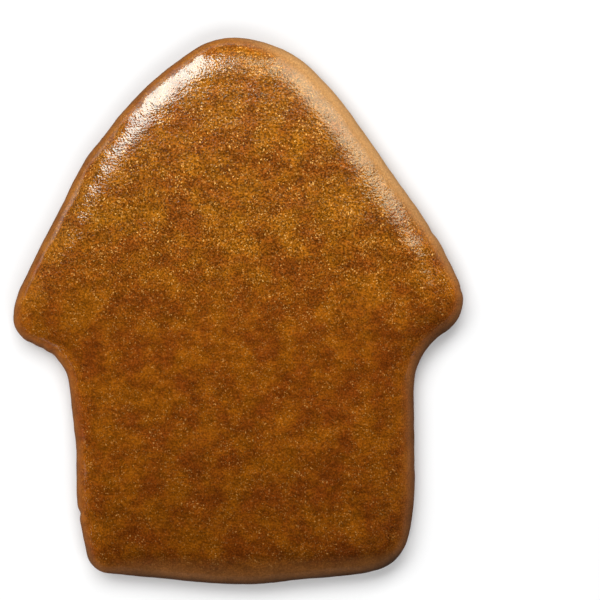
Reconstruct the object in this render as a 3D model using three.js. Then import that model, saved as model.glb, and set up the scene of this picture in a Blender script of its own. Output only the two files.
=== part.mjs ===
// A gingerbread house biscuit: one thick piece of dough, cut in the outline of a house and baked lying flat.
// Sizes are in millimetres, with +Z up. The biscuit rests on its flat base at z = 0 with its ridge towards +Y,
// and the origin is on the base, under the middle of the outline's box.

import * as THREE from "three";

// Driving sizes.
const HOUSE_HEIGHT = 100; // foot to ridge
const EDGE_HEIGHT = 7.7; // thickness where the rounded edge ends and the top begins
const DOME = 0.9; // how much higher than that the middle has risen
const WAIST_HEIGHT = 2.6; // height at which the side bulges out furthest
const BASE_INSET = 1.1; // how far the side draws in under the bulge, down to the base
const SHOULDER_REACH = 7.2; // how far in from the outline the rounding of the edge reaches
const SHOULDER_POWER = 2.3; // 2 makes the rounding an ellipse, more makes it squarer
const DOME_REACH = 9; // distance from the outline over which the dome mostly rises

// Corners of the outline, anticlockwise from the ridge: x, y and the radius that rounds the corner.
const CORNERS = [
  [-4.3, 50.2, 13.5], // ridge, left side
  [-16.8, 42.1, 57.8], // left roof slope, bulged
  [-28.3, 27.3, 17.5], // left roof slope, where it turns steeper
  [-41.1, 1.9, 12.9], // left eave, upper corner
  [-41.2, -4.3, 5.2], // left eave, lower corner
  [-31.4, -9.4, 7.7], // hollow under the left eave
  [-29.7, -24.9, 40.0], // left wall
  [-29.6, -35.8, 25.2], // left wall, drawn in towards the foot
  [-27.1, -47.8, 4.6], // left foot
  [0.0, -50.4, 69.5], // bulged bottom edge
  [22.7, -48.2, 31.2], // bottom edge, rising to the right
  [30.3, -46.1, 8.3], // right foot
  [32.4, -35.0, 49.0], // right wall
  [32.0, -7.7, 12.2], // hollow under the right eave
  [40.2, -2.5, 7.5], // right eave, lower corner
  [41.6, 2.8, 6.8], // right eave, upper corner
  [36.8, 12.8, 22.7], // right roof slope, where it flattens
  [18.2, 39.4, 40.8], // right roof slope, bulged
  [8.2, 49.4, 21.3], // ridge, right side
];

// Low swells of the baked top: length from crest to crest, direction in degrees, height each way and phase.
const SWELLS = [
  { length: 47, direction: 72, height: 0.1, phase: 0.4 },
  { length: 31, direction: 158, height: 0.08, phase: 2.1 },
  { length: 19, direction: 100, height: 0.06, phase: 4.4 },
];

// Mesh density.
const EDGE_FACET = 1.9; // length of a facet along the outline
const MIDDLE_FACET = 4; // length of a facet in the middle of the top
const SAMPLE_STEP = 0.25; // spacing of the points that stand for the outline when distance to it is measured
const SIDE_RINGS = 4; // rings of the side above the base, up to its widest line
const SHOULDER_RINGS = 7; // rings of the rounded edge, parallel to the outline
const SHOULDER_RINGS_END = 3.5; // inset of the last of them
const TOP_RINGS = 14; // rings from there to the hub
const HUB = new THREE.Vector2(0, 11); // where the rings of the top close in, square to the eaves' undersides

/** The closed outline: an arc at each corner, joined by straight lines. */
function outlinePath() {
  const path = new THREE.Path();
  const corner = (i) => new THREE.Vector2(...CORNERS.at(i % CORNERS.length).slice(0, 2));
  for (let i = 0; i < CORNERS.length; i++) {
    const here = corner(i);
    const radius = CORNERS[i][2];
    const back = corner(i - 1).sub(here).normalize();
    const on = corner(i + 1).sub(here).normalize();
    const half = Math.acos(back.dot(on)) / 2;
    const centre = back.clone().add(on).setLength(radius / Math.sin(half)).add(here);
    const start = back.clone().multiplyScalar(radius / Math.tan(half)).add(here).sub(centre);
    const end = on.clone().multiplyScalar(radius / Math.tan(half)).add(here).sub(centre);
    const clockwise = on.cross(back) < 0;
    path.absarc(centre.x, centre.y, radius, start.angle(), end.angle(), clockwise);
  }
  path.closePath();
  return path;
}

const outline = outlinePath();
const outlineLength = outline.getLength();
const edgePoints = outline.getSpacedPoints(Math.round(outlineLength / SAMPLE_STEP)).slice(0, -1);

/**
 * How far inside the outline a point of a ring lies. Close to the outline that is the ring's inset. Further in
 * it is smoothed, so that no crease runs in from the corners.
 */
function depthInside(point, inset) {
  const step = outlineLength / edgePoints.length;
  let sum = 0;
  for (const edge of edgePoints) sum += step / point.distanceTo(edge) ** 5;
  const smoothed = (4 / (3 * sum)) ** 0.25;
  return THREE.MathUtils.lerp(inset, smoothed, Math.min(inset / 2, 1));
}

/** Height of the top at a point that far inside the outline: rounded edge, dome and swells. */
function topHeight(point, depth) {
  const across = Math.min(depth / SHOULDER_REACH, 1);
  const shoulder = Math.sqrt(1 - (1 - across) ** SHOULDER_POWER);
  const dome = DOME * (1 - Math.exp(-depth / DOME_REACH));
  let swell = 0;
  for (const { length, direction, height, phase } of SWELLS) {
    const angle = THREE.MathUtils.degToRad(direction);
    const along = point.x * Math.cos(angle) + point.y * Math.sin(angle);
    swell += height * Math.sin((2 * Math.PI * along) / length + phase);
  }
  return WAIST_HEIGHT + (EDGE_HEIGHT - WAIST_HEIGHT) * shoulder + dome + swell * shoulder * across;
}

/** A ring of points inset squarely from the outline, then shrunk by a share towards the hub. */
function ringPoints(inset, shrink = 0) {
  const points = [];
  const facet = THREE.MathUtils.lerp(EDGE_FACET, MIDDLE_FACET, shrink);
  const count = Math.max(6, Math.round((outlineLength * (1 - shrink)) / facet));
  for (let i = 0; i < count; i++) {
    const point = outline.getPoint(i / count);
    const along = outline.getTangent(i / count);
    point.x -= along.y * inset;
    point.y += along.x * inset;
    points.push(point.lerp(HUB, shrink));
  }
  return points;
}

/** A ring of the side, a quarter of an ellipse from the base, where k is 0, up to the widest line. */
function sideRing(k) {
  const angle = (Math.PI / 2) * (k / SIDE_RINGS);
  const height = WAIST_HEIGHT * (1 - Math.cos(angle));
  return ringPoints(BASE_INSET * (1 - Math.sin(angle))).map((p) => new THREE.Vector3(p.x, p.y, height));
}

/** A ring of the rounded edge or, where it is shrunk towards the hub, of the top. */
function topRing(inset, shrink) {
  return ringPoints(inset, shrink).map((p) => new THREE.Vector3(p.x, p.y, topHeight(p, depthInside(p, inset))));
}

/** All rings from the base to the last one round the hub. */
function biscuitRings() {
  const rings = [];
  for (let k = 0; k <= SIDE_RINGS; k++) rings.push(sideRing(k));
  for (let k = 1; k <= SHOULDER_RINGS; k++)
    rings.push(topRing(SHOULDER_RINGS_END * (k / SHOULDER_RINGS) ** 2, 0));
  for (let k = 1; k < TOP_RINGS; k++) rings.push(topRing(SHOULDER_RINGS_END, k / TOP_RINGS));
  return rings;
}

/** Triangles between two rings that start side by side, each across the shorter diagonal. */
function zip(lower, lowerFirst, upper, upperFirst) {
  const faces = [];
  let i = 0;
  let j = 0;
  while (i < lower.length || j < upper.length) {
    const a = i % lower.length;
    const b = j % upper.length;
    const nextA = (i + 1) % lower.length;
    const nextB = (j + 1) % upper.length;
    const lowerIsNearer = lower[nextA].distanceTo(upper[b]) <= upper[nextB].distanceTo(lower[a]);
    if (j >= upper.length || (i < lower.length && lowerIsNearer)) {
      faces.push(lowerFirst + a, lowerFirst + nextA, upperFirst + b);
      i++;
    } else {
      faces.push(lowerFirst + a, upperFirst + nextB, upperFirst + b);
      j++;
    }
  }
  return faces;
}

/** Triangles from a point in the middle of a ring to each of its sides. */
function fan(middle, ring, first) {
  return ring.flatMap((_, i) => [middle, first + i, first + ((i + 1) % ring.length)]);
}

/** The biscuit as one closed surface: a flat base, the rings, and a point at the hub of the base and of the top. */
function biscuitGeometry() {
  const rings = biscuitRings();
  const faces = [];
  let first = 0;
  for (let k = 1; k < rings.length; k++) {
    const next = first + rings[k - 1].length;
    faces.push(...zip(rings[k - 1], first, rings[k], next));
    first = next;
  }
  const points = rings.flat();
  points.push(new THREE.Vector3(HUB.x, HUB.y, topHeight(HUB, depthInside(HUB, SHOULDER_RINGS_END))));
  faces.push(...fan(points.length - 1, rings.at(-1), first));
  points.push(new THREE.Vector3(HUB.x, HUB.y, 0));
  faces.push(...fan(points.length - 1, rings[0], 0).reverse());

  const geometry = new THREE.BufferGeometry().setFromPoints(points);
  geometry.setIndex(faces);
  geometry.computeBoundingBox();
  const middle = geometry.boundingBox.getCenter(new THREE.Vector3());
  const scale = HOUSE_HEIGHT / geometry.boundingBox.getSize(new THREE.Vector3()).y;
  geometry.translate(-middle.x, -middle.y, 0);
  geometry.scale(scale, scale, 1);
  geometry.computeVertexNormals();
  return geometry;
}

/** Egg-washed gingerbread. */
function crustMaterial() {
  return new THREE.MeshStandardMaterial({ color: 0x8a4b12, roughness: 0.45, metalness: 0 });
}

const house = new THREE.Group();
const biscuit = new THREE.Mesh(biscuitGeometry(), crustMaterial());
biscuit.name = "biscuit";
house.add(biscuit);

export default house;
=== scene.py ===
"""A house-shaped gingerbread biscuit, lying flat on a white table under studio light.

The biscuit's fine mesh follows the same outline and section as the CAD solid that it replaces, and adds what
baking leaves on them: wrinkles, dimples and the small notches of the edge. Its form is worked out in
millimetres, as in the part's source. Everything in the scene is in metres.
"""

import math

import bpy
import numpy as np
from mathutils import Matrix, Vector, noise
from mathutils.geometry import delaunay_2d_cdt
from mathutils.kdtree import KDTree


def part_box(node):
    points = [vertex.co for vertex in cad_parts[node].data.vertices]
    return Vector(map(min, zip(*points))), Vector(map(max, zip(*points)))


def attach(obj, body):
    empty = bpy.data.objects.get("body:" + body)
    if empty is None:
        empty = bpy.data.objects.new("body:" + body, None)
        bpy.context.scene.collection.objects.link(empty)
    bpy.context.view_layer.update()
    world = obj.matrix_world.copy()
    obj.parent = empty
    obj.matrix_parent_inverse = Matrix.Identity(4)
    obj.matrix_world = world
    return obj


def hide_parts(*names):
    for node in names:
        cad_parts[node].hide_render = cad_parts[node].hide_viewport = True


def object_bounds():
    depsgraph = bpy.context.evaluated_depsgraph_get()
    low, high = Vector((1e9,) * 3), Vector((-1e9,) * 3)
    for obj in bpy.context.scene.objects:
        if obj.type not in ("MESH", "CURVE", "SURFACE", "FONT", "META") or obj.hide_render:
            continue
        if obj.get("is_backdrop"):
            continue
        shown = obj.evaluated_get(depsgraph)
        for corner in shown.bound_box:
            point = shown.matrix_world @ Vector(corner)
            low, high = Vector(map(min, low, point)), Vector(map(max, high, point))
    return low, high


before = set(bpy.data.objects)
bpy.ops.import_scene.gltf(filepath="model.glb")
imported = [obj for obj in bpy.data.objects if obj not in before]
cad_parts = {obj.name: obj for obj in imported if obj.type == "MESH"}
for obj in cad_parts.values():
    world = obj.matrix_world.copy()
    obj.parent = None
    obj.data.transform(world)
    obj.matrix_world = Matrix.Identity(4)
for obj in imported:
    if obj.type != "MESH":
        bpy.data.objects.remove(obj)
cad_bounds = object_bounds()

MM = 0.001

# ---------------------------------------------------------------- the biscuit's form, in millimetres

EDGE_HEIGHT = 7.7  # thickness where the rounded edge ends and the top begins
DOME = 0.9  # how much higher than that the middle has risen
WAIST_HEIGHT = 2.6  # height at which the side bulges out furthest
BASE_INSET = 1.1  # how far the side draws in under the bulge, down to the base
SHOULDER_REACH = 7.2  # how far in from the outline the rounding of the edge reaches
SHOULDER_POWER = 2.3  # 2 makes the rounding an ellipse, more makes it squarer
DOME_REACH = 9.0  # distance from the outline over which the dome mostly rises

# Corners of the outline, anticlockwise from the ridge: x, y and the radius that rounds the corner.
CORNERS = [
    (-4.3, 50.2, 13.5),  # ridge, left side
    (-16.8, 42.1, 57.8),  # left roof slope, bulged
    (-28.3, 27.3, 17.5),  # left roof slope, where it turns steeper
    (-41.1, 1.9, 12.9),  # left eave, upper corner
    (-41.2, -4.3, 5.2),  # left eave, lower corner
    (-31.4, -9.4, 7.7),  # hollow under the left eave
    (-29.7, -24.9, 40.0),  # left wall
    (-29.6, -35.8, 25.2),  # left wall, drawn in towards the foot
    (-27.1, -47.8, 4.6),  # left foot
    (0.0, -50.4, 69.5),  # bulged bottom edge
    (22.7, -48.2, 31.2),  # bottom edge, rising to the right
    (30.3, -46.1, 8.3),  # right foot
    (32.4, -35.0, 49.0),  # right wall
    (32.0, -7.7, 12.2),  # hollow under the right eave
    (40.2, -2.5, 7.5),  # right eave, lower corner
    (41.6, 2.8, 6.8),  # right eave, upper corner
    (36.8, 12.8, 22.7),  # right roof slope, where it flattens
    (18.2, 39.4, 40.8),  # right roof slope, bulged
    (8.2, 49.4, 21.3),  # ridge, right side
]

# Low swells of the baked top: length from crest to crest, direction in degrees, height each way and phase.
SWELLS = [(47, 72, 0.1, 0.4), (31, 158, 0.08, 2.1), (19, 100, 0.06, 4.4)]

# Relief finer than the solid's: size across, height each way, stretch along X, and where in the noise it is
# taken from, so that no two layers are alike.
RELIEF = [
    (7.0, 0.09, 1.0, 11.0),  # uneven rise of the dough
    (2.8, 0.08, 2.0, 23.0),  # wrinkles, which run across the house
    (1.5, 0.04, 1.0, 37.0),  # pebbling
]
RELIEF_FADE = 1.2  # height up to which relief and notches fade in from the flat base

# Notches in the edge: x, y, radius and depth.
NOTCHES = [
    (-29.2, -37.0, 0.7, 0.35),  # nick in the left wall
    (-33.6, -7.6, 0.9, 0.25),  # hollows between the lumps under the left eave
    (-35.6, -6.6, 0.8, 0.25),
    (-37.6, -5.5, 0.8, 0.20),
    (40.9, 4.0, 0.9, 0.25),  # kink in the right eave
    (35.6, 14.4, 0.8, 0.20),  # kink in the right roof slope
]

OUTLINE_STEP = 0.05  # spacing of the points that the outline is kept as
SAMPLE_STEP = 0.25  # spacing of the points that stand for it when distance to it is measured
SMOOTHING_INSET = 2.0  # inset from which that distance is smoothed in full
EDGE_POINTS = 840  # points of the fine mesh in each ring round the edge
SIDE_RINGS = 12  # rings of the side above the base, up to its widest line
SHOULDER_RINGS = 20  # rings of the rounded edge above that
SHOULDER_RINGS_END = 3.5  # inset of the last of them
TOP_SPACING = 0.35  # spacing of the points inside that ring
BASE_SPACING = 1.2  # spacing of the points of the base


def corner_arc(before, corner, after):
    """Points along the arc that rounds one corner."""
    point, radius = np.array(corner[:2]), corner[2]
    back = np.array(before[:2]) - point
    on = np.array(after[:2]) - point
    back, on = back / np.hypot(*back), on / np.hypot(*on)
    half = math.acos(back @ on) / 2
    bisector = (back + on) / np.hypot(*(back + on))
    centre = point + bisector * radius / math.sin(half)
    start = point + back * radius / math.tan(half) - centre
    turn = math.copysign(math.pi - 2 * half, back[1] * on[0] - back[0] * on[1])
    count = max(3, int(radius * abs(turn) / OUTLINE_STEP))
    angles = math.atan2(start[1], start[0]) + np.linspace(0, turn, count)
    return centre + radius * np.stack([np.cos(angles), np.sin(angles)], axis=1)


def evenly_spaced(points, step):
    """Points at even steps along a closed line."""
    closed = np.vstack([points, points[:1]])
    along = np.r_[0, np.cumsum(np.hypot(*np.diff(closed, axis=0).T))]
    at = np.linspace(0, along[-1], round(along[-1] / step), endpoint=False)
    return np.stack([np.interp(at, along, closed[:, i]) for i in (0, 1)], axis=1)


class Outline:
    """The house's outline, with the direction that points inwards at each place on it."""

    def __init__(self):
        neighbours = zip(CORNERS[-1:] + CORNERS[:-1], CORNERS, CORNERS[1:] + CORNERS[:1])
        arcs = [corner_arc(before, corner, after) for before, corner, after in neighbours]
        points = evenly_spaced(np.vstack(arcs), OUTLINE_STEP)
        points -= (points.min(axis=0) + points.max(axis=0)) / 2
        along = np.roll(points, -1, axis=0) - np.roll(points, 1, axis=0)
        along /= np.hypot(*along.T)[:, None]
        self.points = points
        self.inwards = np.stack([-along[:, 1], along[:, 0]], axis=1)
        self.samples = evenly_spaced(points, SAMPLE_STEP)

    def ring(self, inset):
        """Points round the outline, inset squarely from it."""
        at = np.arange(EDGE_POINTS) * len(self.points) // EDGE_POINTS
        return self.points[at] + self.inwards[at] * inset

    def inset_of(self, points):
        """How far points lie inside the nearest place on the outline."""
        finder = KDTree(len(self.points))
        for i, point in enumerate(self.points):
            finder.insert((*point, 0), i)
        finder.balance()
        nearest = [finder.find((*point, 0))[1] for point in points]
        return np.sum((points - self.points[nearest]) * self.inwards[nearest], axis=1)

    def depth(self, points, inset):
        """How far inside points lie, smoothed further in than the edge, so that corners leave no crease.

        One over the fifth power of distance, summed along a straight edge, gives 4/3 over the fourth power of
        depth. So the smoothed depth is exact beside a straight edge.
        """
        sums = np.zeros(len(points))
        for sample in self.samples:
            sums += np.sum((points - sample) ** 2, axis=1) ** -2.5
        smoothed = (4 / (3 * sums * SAMPLE_STEP)) ** 0.25
        return inset + (smoothed - inset) * min(inset / SMOOTHING_INSET, 1)


def top_height(points, depth):
    """Height of the top over points at that depth inside the outline: rounded edge, dome and swells."""
    across = np.minimum(depth / SHOULDER_REACH, 1)
    shoulder = np.sqrt(1 - (1 - across) ** SHOULDER_POWER)
    dome = DOME * (1 - np.exp(-depth / DOME_REACH))
    swell = np.zeros(len(points))
    for length, direction, height, phase in SWELLS:
        angle = math.radians(direction)
        along = points @ (math.cos(angle), math.sin(angle))
        swell += height * np.sin(2 * math.pi * along / length + phase)
    return WAIST_HEIGHT + (EDGE_HEIGHT - WAIST_HEIGHT) * shoulder + dome + swell * shoulder * across


def edge_rings(outline):
    """Inset and points of the rings from the base's edge up the side and over the rounded edge."""
    for k in range(SIDE_RINGS + 1):
        angle = math.pi / 2 * k / SIDE_RINGS
        inset = BASE_INSET * (1 - math.sin(angle))
        heights = np.full(EDGE_POINTS, WAIST_HEIGHT * (1 - math.cos(angle)))
        yield inset, np.column_stack([outline.ring(inset), heights])
    for k in range(1, SHOULDER_RINGS + 1):
        inset = SHOULDER_RINGS_END * (k / SHOULDER_RINGS) ** 2
        flat = outline.ring(inset)
        yield inset, np.column_stack([flat, top_height(flat, outline.depth(flat, inset))])


def grid_inside(outline, inset, spacing):
    """Points of a triangular grid that lie inside the ring with that inset."""
    low, high = outline.points.min(axis=0), outline.points.max(axis=0)
    x, y = np.meshgrid(
        np.arange(low[0], high[0], spacing),
        np.arange(low[1], high[1], spacing * math.sqrt(0.75)),
    )
    x[1::2] += spacing / 2
    grid = np.column_stack([x.ravel(), y.ravel()])
    return grid[outline.inset_of(grid) > inset + spacing / 2]


def filled(ring, ring_first, grid, grid_first):
    """Triangles over a ring and the grid inside it, whose points start at those places in the mesh."""
    corners = [Vector(point[:2]) for point in (*ring, *grid)]
    border = list(range(len(ring)))
    inside_only = 1
    tolerance = 1e-6
    faces = delaunay_2d_cdt(corners, [], [border], inside_only, tolerance)[2]
    places = np.r_[ring_first + np.arange(len(ring)), grid_first + np.arange(len(grid))]
    return places[np.array(faces)].tolist()


def walls(ring_count):
    """Quadrilaterals that join each ring to the next."""
    on = (np.arange(EDGE_POINTS) + 1) % EDGE_POINTS
    here = np.arange(EDGE_POINTS)
    quads = []
    for first in range(0, (ring_count - 1) * EDGE_POINTS, EDGE_POINTS):
        above = first + EDGE_POINTS
        quads += np.column_stack([first + here, first + on, above + on, above + here]).tolist()
    return quads


def noise_at(points, size, stretch, place):
    """Smooth noise from -1 to 1 whose features are about that size across."""
    scaled = points / (size * stretch, size, size) + place
    return np.array([noise.noise(Vector(p)) for p in scaled])


def relief(points):
    """How far the fine relief moves each point out along its normal. The base stays flat."""
    height = np.zeros(len(points))
    for size, amount, stretch, place in RELIEF:
        height += amount * noise_at(points, size, stretch, place)
    for x, y, radius, depth in NOTCHES:
        away = np.hypot(points[:, 0] - x, points[:, 1] - y) / radius
        height -= depth * np.exp(-(away**2))
    return height * np.clip(points[:, 2] / RELIEF_FADE, 0, 1)


def fit_to(points, low, high):
    """Moves and scales points so that their box is the given one."""
    own_low, own_high = points.min(axis=0), points.max(axis=0)
    return low + (points - own_low) / (own_high - own_low) * (high - low)


def mesh_normals(mesh):
    normals = np.empty(len(mesh.vertices) * 3, dtype=np.float32)
    mesh.vertex_normals.foreach_get("vector", normals)
    return normals.reshape(-1, 3)


# Layout of the texture map: a square of that size in millimetres, with its lower left corner there.
MAP_SIZE = 114.0
MAP_CORNER = (-48.0, -57.0)
BASE_MAP_SCALE = 0.34  # the plain underside gets less of the map
BASE_MAP_PLACE = (52.0, -38.0)  # where its middle lies, right of the foot


def rolled_out(outline, insets, rings, top_grid):
    """Where the points of the rings and the top lie when the edge is rolled out flat round the top."""
    heights = [ring[:, 2].mean() for ring in rings]
    steps = np.hypot(np.diff(insets), np.diff(heights))
    lengths = np.r_[np.cumsum(steps[::-1])[::-1], 0]
    flat_rings = [outline.ring(insets[-1] - length) for length in lengths]
    return np.vstack([*flat_rings, top_grid])


def lay_out(mesh, flat, base_loops, base_points):
    """Maps the top and its rolled-out edge as one piece, and the base smaller beside it."""
    corners = np.empty(len(mesh.loops), dtype=np.int32)
    mesh.loops.foreach_get("vertex_index", corners)
    places = np.vstack([flat, np.zeros((len(mesh.vertices) - len(flat), 2))])[corners]
    places[-base_loops:] = base_points[corners[-base_loops:]] * BASE_MAP_SCALE + BASE_MAP_PLACE
    layer = mesh.uv_layers.new(name="OFBake")
    layer.uv.foreach_set("vector", ((places - MAP_CORNER) / MAP_SIZE).astype(np.float32).ravel())


def biscuit_mesh(low, high):
    """The biscuit's fine mesh, in metres, in the given box."""
    outline = Outline()
    insets, rings = zip(*edge_rings(outline))
    top_grid = grid_inside(outline, SHOULDER_RINGS_END, TOP_SPACING)
    base_grid = grid_inside(outline, BASE_INSET, BASE_SPACING)
    top_first = len(rings) * EDGE_POINTS
    base_first = top_first + len(top_grid)

    top_faces = filled(rings[-1], top_first - EDGE_POINTS, top_grid, top_first)
    base_faces = [face[::-1] for face in filled(rings[0], 0, base_grid, base_first)]
    heights = top_height(top_grid, outline.depth(top_grid, SHOULDER_RINGS_END))
    points = np.vstack([
        *rings,
        np.column_stack([top_grid, heights]),
        np.column_stack([base_grid, np.zeros(len(base_grid))]),
    ])

    mesh = bpy.data.meshes.new("biscuit_crust")
    mesh.from_pydata(points.tolist(), [], walls(len(rings)) + top_faces + base_faces)
    lay_out(mesh, rolled_out(outline, insets, rings, top_grid), len(base_faces) * 3, points[:, :2])
    points = points + mesh_normals(mesh) * relief(points)[:, None]
    points = fit_to(points, np.array(low), np.array(high))
    mesh.vertices.foreach_set("co", points.astype(np.float32).ravel())
    mesh.polygons.foreach_set("use_smooth", [True] * len(mesh.polygons))
    mesh.update()
    return mesh


# ---------------------------------------------------------------- materials


class Shader:
    """Adds nodes to a material's tree. Inputs are values or other nodes' outputs."""

    def __init__(self, name):
        self.material = bpy.data.materials.new(name)
        self.material.use_nodes = True
        self.tree = self.material.node_tree
        self.surface = self.tree.nodes["Principled BSDF"]

    def set(self, node, inputs):
        for name, value in inputs.items():
            socket = node.inputs[name]
            if isinstance(value, bpy.types.NodeSocket):
                self.tree.links.new(value, socket)
            else:
                socket.default_value = value

    def add(self, kind, inputs, **settings):
        node = self.tree.nodes.new("ShaderNode" + kind)
        for name, value in settings.items():
            setattr(node, name, value)
        self.set(node, inputs)
        return node.outputs

    def math(self, operation, a, b, clamp=False):
        return self.add("Math", {0: a, 1: b}, operation=operation, use_clamp=clamp)[0]

    def times(self, a, b):
        return self.math("MULTIPLY", a, b)

    def larger(self, a, b):
        return self.math("MAXIMUM", a, b)

    def span(self, value, low, high, to_low=0.0, to_high=1.0):
        """Value's place between low and high, eased at both ends, as a number from to_low to to_high."""
        inputs = {"Value": value, "From Min": low, "From Max": high, "To Min": to_low, "To Max": to_high}
        return self.add("MapRange", inputs, interpolation_type="SMOOTHSTEP")[0]

    # The Mix node has sockets of the same name for numbers and for colours, so they go by their places in it.

    def mix(self, share, a, b):
        """Colour a with a share of colour b mixed in."""
        return self.add("Mix", {0: share, 6: a, 7: b}, data_type="RGBA")[2]

    def between(self, share, a, b):
        """The number that share of the way from a to b."""
        return self.add("Mix", {0: share, 2: a, 3: b}, data_type="FLOAT")[0]

    def scale(self, colour, factor):
        """Colour made lighter or darker by a factor."""
        return self.add("VectorMath", {0: colour, "Scale": factor}, operation="SCALE")[0]

    def bump(self, height, height_mm, normal=None):
        """The normal of a relief that is height_mm high where height is 1, laid over another normal's."""
        inputs = {"Height": height, "Distance": height_mm * MM}
        if normal is not None:
            inputs["Normal"] = normal
        return self.add("Bump", inputs)[0]


def rgb(red, green, blue):
    """The linear colour of an sRGB one given in 0 to 255."""
    levels = [c / 255 for c in (red, green, blue)]
    return (*[c / 12.92 if c <= 0.04045 else ((c + 0.055) / 1.055) ** 2.4 for c in levels], 1.0)


# Colours of the crust, and of the table.
RUDDY_WALL = rgb(102, 47, 9)
RUDDY_ROOF = rgb(101, 51, 11)
GOLDEN_WALL = rgb(121, 65, 8)
GOLDEN_ROOF = rgb(119, 70, 11)
# Bright flecks: partly sugar grains, partly painted glints.
FLECK_AND_GLINT = rgb(212, 156, 84)
SIDE_DARKER = rgb(104, 62, 28)
SIDE_LIGHTER = rgb(116, 70, 32)
# Pale side of the right roof slope: painted sheen.
SIDE_PALE_SHEEN = rgb(144, 106, 66)
BASE = rgb(134, 84, 44)
PORE = rgb(70, 38, 16)
TABLE = rgb(240, 240, 240)

# Heights on the rounded edge, in millimetres, over which the crust changes.
BROWNING = (4.0, 6.6)  # dull side to browned crust
WASHING = (6.2, 7.6)  # no egg wash to its full gloss
SOAKING = (7.7, 8.3)  # full gloss to the little that is left where the wash has soaked in
GRAINING = (4.8, 7.1)  # smooth side to grainy top
WRINKLING = (6.3, 8.0)  # the same for wrinkles and facets

# How far those heights shift, in millimetres.
RAGGED_SHIFT = 0.6  # browning and wash start lower in places, all round
PALE_SHEEN_SHIFT = 1.8  # browning starts higher on the right roof slope, so its pale side, a painted sheen, reaches higher
PAINTED_SHADE_SHIFT = 2.2  # and higher at the foot and the right wall, so their side, darkened as painted shade, reaches higher
WASH_SHIFT = 0.75  # the wash starts lower on the left roof slope and higher at the foot

# Sizes of the crust's patterns, in millimetres across.
PATCH_SIZE = 5.0  # ruddy and golden patches, and those of the side
RAGGED_SIZE = 4.0  # uneven start of browning and wash
SPREAD_SIZE = 2.5  # uneven spread of the wash
CLUSTER_SIZE = 2.4  # clusters of flecks
STREAK_SIZE = 1.5
WRINKLE_SIZE = 0.8
PORE_SIZE = 0.7
BEND_SIZE = 0.5  # bends in the outlines of flecks
FACET_SIZE = 0.38
FLECK_SIZE = 0.36
GRAIN_SIZE = 0.34

# Relief that is bump alone, in millimetres.
WRINKLE_HEIGHT = 0.09
GRAIN_HEIGHT = 0.16
FACET_HEIGHT = 0.12
PORE_DEPTH = 0.15

FLECK_BEND = 0.7  # how far the outlines of flecks are bent, in millimetres
GLAZE_ROUGHNESS = 0.12
GLAZE_IOR = 2.0


class Crust(Shader):
    """The gingerbread's shader, with the places and patterns that its colours and relief are made from.

    Each of them is a number at each point of the surface, mostly from 0 to 1.
    """

    def __init__(self):
        super().__init__("crust")
        self.coords = self.add("TexCoord", {})["Object"]
        self.position = self.add("SeparateXYZ", {0: self.coords})
        self.add_places()
        self.add_baking()
        self.add_patterns()

    def along(self, axis, low_mm, high_mm, to_low=0.0, to_high=1.0):
        """Place along an axis between two in millimetres, as a number from to_low to to_high."""
        return self.span(self.position[axis], low_mm * MM, high_mm * MM, to_low, to_high)

    def noise(self, size_mm, detail=2.0, roughness=0.5, stretch=1.0):
        """Noise whose features are about that many millimetres across, or stretch times that along X."""
        scaled = self.add("Mapping", {"Vector": self.coords, "Scale": (1 / stretch, 1, 1)})[0]
        inputs = {"Vector": scaled, "Scale": 1 / (size_mm * MM), "Detail": detail, "Roughness": roughness}
        return self.add("TexNoise", inputs)["Fac"]

    def add_places(self):
        """Parts of the house, and where the side has painted sheen (the right roof slope) and painted shade
        (the foot and the right wall).
        """
        self.on_roof = self.along("Y", -10, 18)
        self.near_ridge = self.along("Y", -6, 30)
        self.right_roof = self.times(self.near_ridge, self.along("X", -6, 14))
        self.left_roof = self.math("SUBTRACT", self.on_roof, self.right_roof, clamp=True)
        self.on_foot = self.times(self.along("Y", -41, -45.5), self.along("X", -28, -14, 0.3, 1.0))
        right_wall = self.times(self.along("Y", 8, -6, 0, 0.5), self.along("X", 8, 26))
        # Painted shade at the foot and the right wall.
        self.painted_shade = self.larger(self.on_foot, right_wall)
        # Painted sheen: the side is paler on the right roof slope, and a little at the foot.
        self.pale_painted_sheen = self.larger(self.right_roof, self.times(self.on_foot, 0.12))
        normal = self.add("SeparateXYZ", {0: self.add("NewGeometry", {})["Normal"]})
        self.under = self.span(normal["Z"], -0.5, -0.9)

    def add_baking(self):
        """Browning starts low on the rounded edge, and the gloss of the egg wash higher up."""
        ragged = self.times(self.noise(RAGGED_SIZE, detail=3), RAGGED_SHIFT * MM)
        height = self.math("ADD", self.position["Z"], ragged)

        # The side reaches higher where it carries painted sheen and painted shade.
        pale_sheen_shift = self.times(self.right_roof, PALE_SHEEN_SHIFT * MM)
        # The darkened side, painted shade, reaches higher at the foot and right wall.
        painted_shade_shift = self.times(self.painted_shade, PAINTED_SHADE_SHIFT * MM)
        brown_height = self.math("SUBTRACT", height, self.larger(pale_sheen_shift, painted_shade_shift))
        self.browned = self.span(brown_height, BROWNING[0] * MM, BROWNING[1] * MM)

        wash_shift = self.times(self.math("SUBTRACT", self.left_roof, self.on_foot), WASH_SHIFT * MM)
        wash_height = self.math("ADD", height, wash_shift)
        self.washed = self.span(wash_height, WASHING[0] * MM, WASHING[1] * MM)

    def add_patterns(self):
        """Grain and pores, which are both coloured and in relief. Grain fades out down the rounded edge."""
        self.grain = self.noise(GRAIN_SIZE, roughness=0.65)
        self.grainy = self.along("Z", *GRAINING, 0.25, 1.0)
        self.pores = self.span(self.noise(PORE_SIZE, detail=3), 0.52, 0.36)


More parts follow.
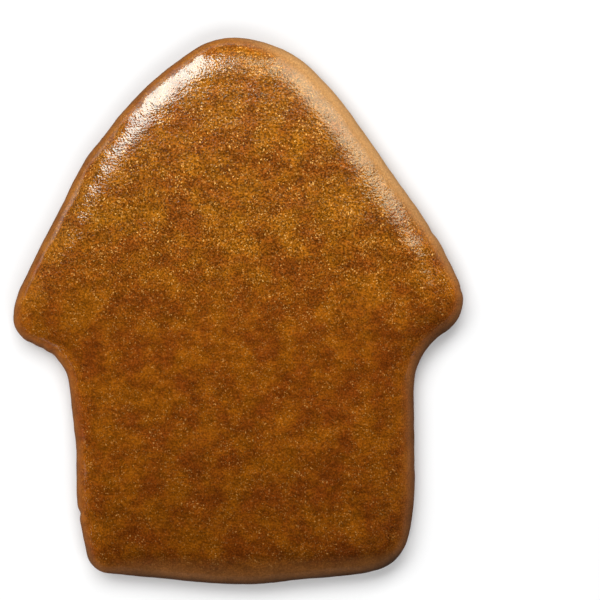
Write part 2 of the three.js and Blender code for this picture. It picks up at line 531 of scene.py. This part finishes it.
def flecks_and_painted_glints(crust):
    """Sugar grains in the crust and painted glints: small bent flecks in clusters, some of them bright,
    painted stronger on the roof, where the light falls.
    """
    inputs = {"Vector": crust.coords, "Scale": 1 / (BEND_SIZE * MM), "Detail": 1.0}
    bend = crust.add("TexNoise", inputs)["Color"]
    inputs = {0: bend, 1: [FLECK_BEND * MM] * 3, 2: crust.coords}
    bent = crust.add("VectorMath", inputs, operation="MULTIPLY_ADD")[0]
    cells = crust.add("TexVoronoi", {"Vector": bent, "Scale": 1 / (FLECK_SIZE * MM)})
    chance = crust.add("SeparateColor", {0: cells["Color"]})[0]
    flecks = crust.times(crust.span(cells["Distance"], 0.5, 0.05), crust.span(chance, 0.35, 1.15))
    clusters = crust.span(crust.noise(CLUSTER_SIZE, detail=3), 0.36, 0.62, 0.25, 1.25)
    # Painted glints: the flecks are stronger on the roof, where the light falls.
    strength = crust.times(crust.grainy, crust.span(crust.on_roof, 0, 1, 0.6, 1.35))
    return crust.times(flecks, crust.times(clusters, strength))


def top_colour(crust):
    """Egg-washed crust, with painted shade darker to the foot: ruddy and golden patches, streaks, grain, and
    bright flecks that are partly painted glints.
    """
    patches = crust.span(crust.noise(PATCH_SIZE, detail=5, roughness=0.62), 0.34, 0.66)
    ruddy = crust.mix(crust.on_roof, RUDDY_WALL, RUDDY_ROOF)
    golden = crust.mix(crust.on_roof, GOLDEN_WALL, GOLDEN_ROOF)
    colour = crust.mix(patches, ruddy, golden)
    # Painted shade: the crust is made darker towards the foot, away from the roof where the light falls.
    colour = crust.scale(colour, crust.along("Y", -50, -5, 0.88, 1.0))
    streaks = crust.noise(STREAK_SIZE, detail=3, roughness=0.6, stretch=1.8)
    colour = crust.scale(colour, crust.span(streaks, 0.3, 0.7, 0.78, 1.22))
    uneven = crust.span(crust.grain, 0.34, 0.7, 0.48, 1.84)
    # The grain stands out more on the roof: painted glints and shading where the light falls.
    share = crust.times(crust.grainy, crust.span(crust.on_roof, 0, 1, 0.54, 1.0))
    colour = crust.scale(colour, crust.between(share, 1.0, uneven))
    return crust.mix(flecks_and_painted_glints(crust), colour, FLECK_AND_GLINT)


def side_colour(crust):
    """The side, duller than the top, paler in places as painted sheen, and darker low down as painted shade,
    most at the foot and right wall, where it is painted lighter higher up.
    """
    patches = crust.span(crust.noise(PATCH_SIZE, detail=4), 0.36, 0.64)
    brown = crust.mix(patches, SIDE_DARKER, SIDE_LIGHTER)
    # Painted sheen where the side is paler.
    colour = crust.mix(crust.pale_painted_sheen, brown, SIDE_PALE_SHEEN)
    colour = crust.scale(colour, crust.span(crust.grain, 0.34, 0.7, 0.82, 1.18))
    # Painted shade: the side is darker low down, near the table.
    painted_low_shade = crust.along("Z", 2.5, 6.3, 0.55, 1.0)
    # At the foot and right wall: deeper painted shade low down, and painted light higher up.
    darker = crust.along("Z", 4.1, 6.9, 0.3, 1.3)
    return crust.scale(colour, crust.between(crust.painted_shade, painted_low_shade, darker))


def base_colour(crust):
    """The underside, with darker pores."""
    return crust.mix(crust.times(crust.pores, 0.6), BASE, PORE)


def glaze_weight(crust):
    """How much of the egg wash lies on the crust. The flat top has soaked up most of it."""
    spread = crust.span(crust.noise(SPREAD_SIZE, detail=3), 0.3, 0.6, 0.8, 1.0)
    unsoaked = crust.along("Z", *SOAKING, 1.0, 0.25)
    return crust.times(crust.times(crust.larger(crust.washed, 0.05), spread), unsoaked)


def relief_normals(crust):
    """Normals of the crust, with wrinkles, grain and pores, and of its glaze, with wrinkles and facets."""
    crisp = crust.along("Z", *WRINKLING, 0.2, 1.0)
    wrinkles = crust.noise(WRINKLE_SIZE, detail=1.0, stretch=1.4)
    wrinkled = crust.bump(crust.times(wrinkles, crisp), WRINKLE_HEIGHT)
    grainy = crust.bump(crust.times(crust.grain, crust.grainy), GRAIN_HEIGHT, wrinkled)
    porous = crust.bump(crust.times(crust.pores, crust.under), -PORE_DEPTH, grainy)
    facets = crust.noise(FACET_SIZE, detail=1.0)
    strength = crust.times(crisp, crust.span(crust.near_ridge, 0, 1, 0.35, 1.0))
    faceted = crust.bump(crust.times(facets, strength), FACET_HEIGHT, wrinkled)
    return porous, faceted


def crust_material():
    """Gingerbread: a glazed, grainy top, dull sides and a matte, porous underside."""
    crust = Crust()
    upper = crust.mix(crust.browned, side_colour(crust), top_colour(crust))
    normal, glaze_normal = relief_normals(crust)
    crust.set(crust.surface, {
        "Base Color": crust.mix(crust.under, upper, base_colour(crust)),
        "Roughness": crust.span(crust.washed, 0, 1, 0.7, 0.5),
        "Specular IOR Level": 0.0,
        "Coat Weight": glaze_weight(crust),
        "Coat Roughness": GLAZE_ROUGHNESS,
        "Coat IOR": GLAZE_IOR,
        "Normal": normal,
        "Coat Normal": glaze_normal,
    })
    return crust.material


def floor_material():
    """Plain matte white."""
    shader = Shader("table")
    shader.set(shader.surface, {
        "Base Color": TABLE,
        "Roughness": 0.9,
        "Specular IOR Level": 0.0,
    })
    return shader.material


# ---------------------------------------------------------------- pieces

TABLE_HALF_WIDTH = 1.5
TABLE_GAP = 0.02 * MM  # how far the table lies below the biscuit's base, so that their faces don't coincide


def make_biscuit():
    low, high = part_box("biscuit")
    piece = bpy.data.objects.new("biscuit_crust", biscuit_mesh(low, high))
    bpy.context.scene.collection.objects.link(piece)
    piece.data.materials.append(crust_material())
    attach(piece, "root")
    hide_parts("biscuit")
    return piece


def make_floor():
    half = TABLE_HALF_WIDTH
    mesh = bpy.data.meshes.new("table")
    corners = [(-half, -half, 0), (half, -half, 0), (half, half, 0), (-half, half, 0)]
    mesh.from_pydata(corners, [], [(0, 1, 2, 3)])
    floor = bpy.data.objects.new("table", mesh)
    floor.location.z = -TABLE_GAP
    mesh.materials.append(floor_material())
    bpy.context.scene.collection.objects.link(floor)
    floor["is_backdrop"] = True
    return floor


# ---------------------------------------------------------------- light and camera

VIEW_WIDTH = 0.10979  # what the picture's width covers at the height of the biscuit's waist
VIEW_CENTRE = (0.01129, 0.00199)  # the place that the camera looks straight down on
LENS = 150.0  # focal length in millimetres
SENSOR = 36.0  # width in millimetres

# Colours of the lights.
WHITE = (1.0, 1.0, 1.0)
GREENISH = (0.90, 1.0, 0.94)
CREAM = (1.0, 0.97, 0.68)
AMBER = (1.0, 0.88, 0.54)
SKY = (0.95, 0.98, 1.0)

SKY_STRENGTH = 0.12  # light from all round, seen in no reflection

# Places on the biscuit that lights face.
MIDDLE = (0.0, 0.0)
RIDGE = (-0.005, 0.040)
LEFT_SLOPE_TOP = (-0.015, 0.039)
LEFT_SLOPE_FOOT = (-0.036, 0.008)
RIGHT_SLOPE_TOP = (0.020, 0.036)
RIGHT_SLOPE_MIDDLE = (0.026, 0.021)
ROOF_MIDDLE = (0.006, 0.020)


def make_camera():
    data = bpy.data.cameras.new("camera")
    data.lens = LENS
    data.sensor_width = SENSOR
    camera = bpy.data.objects.new("camera", data)
    height = WAIST_HEIGHT * MM + VIEW_WIDTH * LENS / SENSOR
    camera.location = (*VIEW_CENTRE, height)
    bpy.context.scene.collection.objects.link(camera)
    bpy.context.scene.camera = camera


def softbox(name, azimuth, elevation, distance, size, power, lit, aim=MIDDLE, glossy=True, colour=WHITE):
    """A rectangular light that faces its aim and lights only the pieces in lit.

    Azimuth is in degrees anticlockwise from +X as seen from above, and elevation in degrees above the table.
    Distance and size are in metres, and power is in watts. A light that isn't glossy is in no reflection.
    """
    data = bpy.data.lights.new(name, "AREA")
    data.shape = "RECTANGLE"
    data.size, data.size_y = size
    data.energy = power
    data.color = colour
    light = bpy.data.objects.new(name, data)
    a, e = math.radians(azimuth), math.radians(elevation)
    towards = Vector((math.cos(a) * math.cos(e), math.sin(a) * math.cos(e), math.sin(e)))
    light.location = Vector((*aim, 0)) + towards * distance
    light.rotation_euler = towards.to_track_quat("Z", "Y").to_euler()
    light.visible_camera = False
    light.visible_glossy = glossy
    light.light_linking.receiver_collection = lit
    bpy.context.scene.collection.objects.link(light)


def group_of(name, piece):
    """A collection that holds one piece, for lights to be kept to."""
    group = bpy.data.collections.new(name)
    group.objects.link(piece)
    return group


def make_lights(biscuit, floor):
    """The biscuit's softboxes stand beyond the roof, to the left and in front. The table has its own two."""
    on_biscuit = group_of("lit_biscuit", biscuit)
    softbox("key", 127, 35, 0.14, (0.07, 0.15), 0.235, on_biscuit, LEFT_SLOPE_TOP, colour=GREENISH)
    softbox("fill", 52, 34, 0.12, (0.10, 0.15), 0.11, on_biscuit, RIGHT_SLOPE_TOP, colour=CREAM)
    softbox("rim", 35, 24, 0.20, (0.16, 0.08), 0.48, on_biscuit, RIGHT_SLOPE_MIDDLE, glossy=False)
    softbox("top", 100, 60, 0.14, (0.14, 0.08), 0.15, on_biscuit, RIDGE, glossy=False)
    softbox("bank", 150, 32, 0.14, (0.12, 0.08), 0.045, on_biscuit, LEFT_SLOPE_FOOT, glossy=False)
    softbox("haze", 150, 32, 0.14, (0.12, 0.08), 0.03, on_biscuit, LEFT_SLOPE_FOOT)
    softbox("sheen", 82, 50, 0.20, (0.30, 0.16), 0.055, on_biscuit, ROOF_MIDDLE, colour=AMBER)
    softbox("left", 206, 4, 0.40, (0.40, 0.10), 2.40, on_biscuit, glossy=False)
    softbox("front", 312, 46, 0.30, (0.30, 0.20), 0.175, on_biscuit, glossy=False)

    on_table = group_of("lit_table", floor)
    softbox("table_back", 114, 60, 0.50, (0.62, 0.26), 2.74, on_table)
    softbox("table_front", 285, 54, 0.50, (0.62, 0.28), 1.46, on_table)


def make_world():
    world = bpy.data.worlds.new("studio")
    world.use_nodes = True
    background = world.node_tree.nodes["Background"]
    background.inputs["Color"].default_value = (*SKY, 1.0)
    background.inputs["Strength"].default_value = SKY_STRENGTH
    bpy.context.scene.world = world
    world.cycles_visibility.glossy = False


make_camera()
make_lights(make_biscuit(), make_floor())
make_world()
bpy.context.scene.view_settings.view_transform = "Standard"

own_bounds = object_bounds()
[[list(corner) for corner in box] for box in (cad_bounds, own_bounds)]
